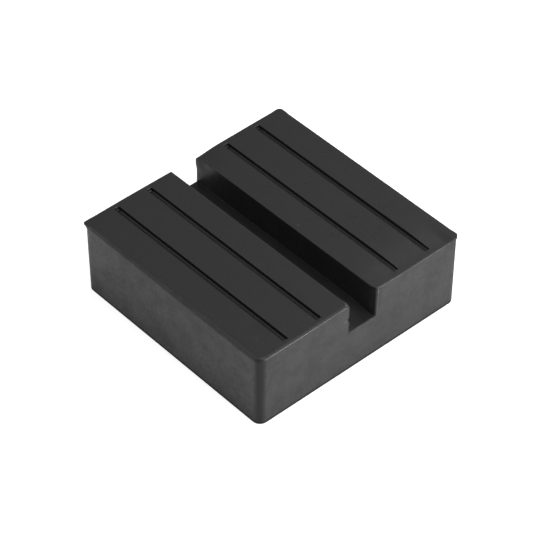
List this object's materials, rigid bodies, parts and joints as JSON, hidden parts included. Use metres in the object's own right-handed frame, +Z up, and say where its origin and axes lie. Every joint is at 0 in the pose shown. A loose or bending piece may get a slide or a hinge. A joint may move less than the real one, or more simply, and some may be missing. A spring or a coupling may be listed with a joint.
{
  "type": "jack rubber pad",
  "caption": "Square block of solid black rubber with a slot across its top and shallow grip grooves, a cushion between a lifting jack and a car's sill.",
  "frame": {"origin": "centre of the flat base, so the pad stands on z = 0", "axes": "+Z up from the base to the slotted face, +Y along the slot, +X across it"},
  "size_m": [0.075, 0.075, 0.025],
  "materials": {
    "rubber": "moulded solid black rubber, satin to matt, faintly mottled"
  },
  "bodies": {
    "root": {"rubber_pad": "rubber"}
  },
  "joints": []
}
